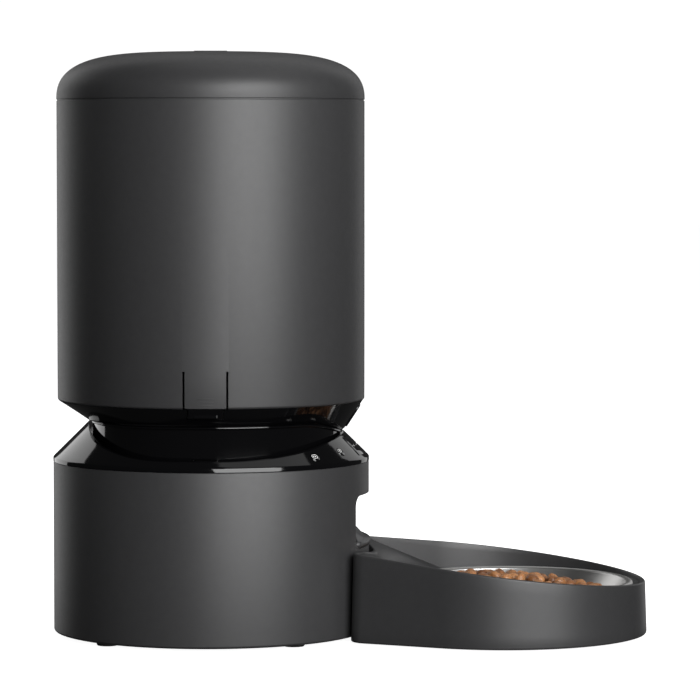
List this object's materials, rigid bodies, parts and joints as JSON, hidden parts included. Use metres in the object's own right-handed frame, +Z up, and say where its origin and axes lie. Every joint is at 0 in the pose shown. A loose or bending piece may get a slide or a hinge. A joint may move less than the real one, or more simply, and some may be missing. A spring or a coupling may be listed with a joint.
{
  "type": "automatic pet feeder",
  "caption": "Round food hopper with a twist-lock lid on a motor base that drops portions through a front outlet into a steel bowl in a sloped tray.",
  "frame": {"origin": "on the floor at the centre of the whole footprint", "axes": "+Z up, +X towards the tray and bowl, +Y to the feeder's left"},
  "size_m": [0.3647, 0.1938, 0.3577],
  "materials": {
    "matte_shell": "fine-textured matte charcoal",
    "gloss_black": "polished black",
    "smoked_lens": "polished smoked black",
    "inner_plastic": "satin grey",
    "black_plastic": "satin black",
    "white_plastic": "natural white moulding",
    "acetal": "natural low-friction moulding",
    "circuit_board": "green solder mask",
    "rubber": "matte",
    "silicone": "translucent grey silicone",
    "bag_paper": "bonded non-woven",
    "steel": "plated",
    "brass": "machined",
    "bowl_steel": "spun and brushed stainless"
  },
  "bodies": {
    "base": {"base_shell": "matte_shell", "base_bottom": "inner_plastic", "feet": "rubber", "top_deck": "inner_plastic", "deck_posts": "inner_plastic", "control_collar": "gloss_black", "display_lens": "smoked_lens", "outlet_chute": "gloss_black", "ir_windows": "smoked_lens", "gearbox_case": "white_plastic", "gearbox_cover": "white_plastic", "gear_pins": "steel", "motor": "steel", "main_board": "circuit_board", "speaker": "inner_plastic", "power_inlet": "black_plastic", "battery_box": "inner_plastic", "battery_contacts": "steel", "cover_pins": "steel", "base_screws": "steel", "key_strip": "black_plastic"},
    "motor_rotor": {"motor_pinion": "brass"},
    "first_gear": {"first_gear": "white_plastic"},
    "second_gear": {"second_gear": "white_plastic"},
    "output_gear": {"output_gear": "white_plastic"},
    "battery_cover": {"battery_cover": "inner_plastic"},
    "key_left_outer": {"key_left_outer": "gloss_black"},
    "key_left_inner": {"key_left_inner": "gloss_black"},
    "key_right_inner": {"key_right_inner": "gloss_black"},
    "key_right_outer": {"key_right_outer": "gloss_black"},
    "hopper": {"hopper_shell": "matte_shell", "hopper_waist": "gloss_black", "hopper_funnel": "inner_plastic", "metering_cover": "inner_plastic", "level_window": "smoked_lens"},
    "latch_left": {"latch_left": "matte_shell"},
    "latch_right": {"latch_right": "matte_shell"},
    "rotor": {"rotor_hub": "white_plastic", "rotor_fins": "silicone", "agitator": "white_plastic"},
    "lid": {"lid_shell": "matte_shell", "lid_liner": "inner_plastic", "lid_seal": "silicone", "lid_screws": "steel", "desiccant_bag": "bag_paper"},
    "desiccant_door": {"desiccant_door": "inner_plastic"},
    "lid_knob": {"lid_knob": "matte_shell", "lock_cam": "acetal"},
    "lock_bolt_left": {"lock_bolt_left": "acetal"},
    "lock_bolt_right": {"lock_bolt_right": "acetal"},
    "tray": {"tray_shell": "matte_shell", "tray_pads": "rubber"},
    "bowl": {"bowl": "bowl_steel"}
  },
  "joints": [
    {"name": "hopper_lift", "type": "slide", "parent": "base", "child": "hopper", "axis": [0, 0, 1], "range_m": [0, 0.12]},
    {"name": "lid_lift", "type": "slide", "parent": "hopper", "child": "lid", "axis": [0, 0, 1], "range_m": [0, 0.08]},
    {"name": "rotor_turn", "type": "hinge", "parent": "hopper", "child": "rotor", "pos_m": [-0.0855, 0, 0.112], "axis": [0, 0, 1], "continuous": true},
    {"name": "output_turn", "type": "hinge", "parent": "base", "child": "output_gear", "pos_m": [-0.0855, 0, 0.09], "axis": [0, 0, 1], "continuous": true},
    {"name": "second_turn", "type": "hinge", "parent": "base", "child": "second_gear", "pos_m": [-0.11557, -0.01094, 0.082], "axis": [0, 0, 1], "continuous": true},
    {"name": "first_turn", "type": "hinge", "parent": "base", "child": "first_gear", "pos_m": [-0.12061, 0.01761, 0.075], "axis": [0, 0, 1], "continuous": true},
    {"name": "motor_turn", "type": "hinge", "parent": "base", "child": "motor_rotor", "pos_m": [-0.09523, 0.02685, 0.075], "axis": [0, 0, 1], "continuous": true},
    {"name": "key_left_outer_press", "type": "slide", "parent": "base", "child": "key_left_outer", "axis": [-0.4882, 0.5056, -0.7114], "range_m": [0, 0.0005], "stiffness_N_per_m": 1500},
    {"name": "key_left_inner_press", "type": "slide", "parent": "base", "child": "key_left_inner", "axis": [-0.6129, 0.344, -0.7114], "range_m": [0, 0.0005], "stiffness_N_per_m": 1500},
    {"name": "key_right_inner_press", "type": "slide", "parent": "base", "child": "key_right_inner", "axis": [-0.6129, -0.344, -0.7114], "range_m": [0, 0.0005], "stiffness_N_per_m": 1500},
    {"name": "key_right_outer_press", "type": "slide", "parent": "base", "child": "key_right_outer", "axis": [-0.4882, -0.5056, -0.7114], "range_m": [0, 0.0005], "stiffness_N_per_m": 1500},
    {"name": "latch_left_press", "type": "hinge", "parent": "hopper", "child": "latch_left", "pos_m": [-0.0855, 0.0914, 0.1659], "axis": [-1, 0, 0], "range_deg": [0, 4], "stiffness_Nm_per_rad": 1.2},
    {"name": "latch_right_press", "type": "hinge", "parent": "hopper", "child": "latch_right", "pos_m": [-0.0855, -0.0914, 0.1659], "axis": [1, 0, 0], "range_deg": [0, 4], "stiffness_Nm_per_rad": 1.2},
    {"name": "lid_knob_turn", "type": "hinge", "parent": "lid", "child": "lid_knob", "pos_m": [-0.0855, 0, 0.35], "axis": [0, 0, 1], "range_deg": [0, 90]},
    {"name": "lock_bolt_left_slide", "type": "slide", "parent": "lid", "child": "lock_bolt_left", "axis": [0, -1, 0], "range_m": [0, 0.0024]},
    {"name": "lock_bolt_right_slide", "type": "slide", "parent": "lid", "child": "lock_bolt_right", "axis": [0, 1, 0], "range_m": [0, 0.0024]},
    {"name": "desiccant_door_swing", "type": "hinge", "parent": "lid", "child": "desiccant_door", "pos_m": [-0.111, 0, 0.3119], "axis": [0, -1, 0], "range_deg": [0, 85]},
    {"name": "battery_cover_swing", "type": "hinge", "parent": "base", "child": "battery_cover", "pos_m": [-0.0603, 0, 0.0056], "axis": [0, -1, 0], "range_deg": [0, 95]},
    {"name": "tray_pull", "type": "slide", "parent": "base", "child": "tray", "axis": [1, 0, 0], "range_m": [0, 0.06]},
    {"name": "bowl_lift", "type": "slide", "parent": "tray", "child": "bowl", "axis": [0, 0, 1], "range_m": [0, 0.06]}
  ],
  "couplings": [
    {"joint": "output_turn", "follows": "rotor_turn", "ratio": 1},
    {"joint": "second_turn", "follows": "rotor_turn", "ratio": -3.5714},
    {"joint": "first_turn", "follows": "rotor_turn", "ratio": 11.224},
    {"joint": "motor_turn", "follows": "rotor_turn", "ratio": -39.286},
    {"joint": "lock_bolt_left_slide", "follows": "lid_knob_turn", "m_per_rad": 0.0015279},
    {"joint": "lock_bolt_right_slide", "follows": "lid_knob_turn", "m_per_rad": 0.0015279}
  ]
}
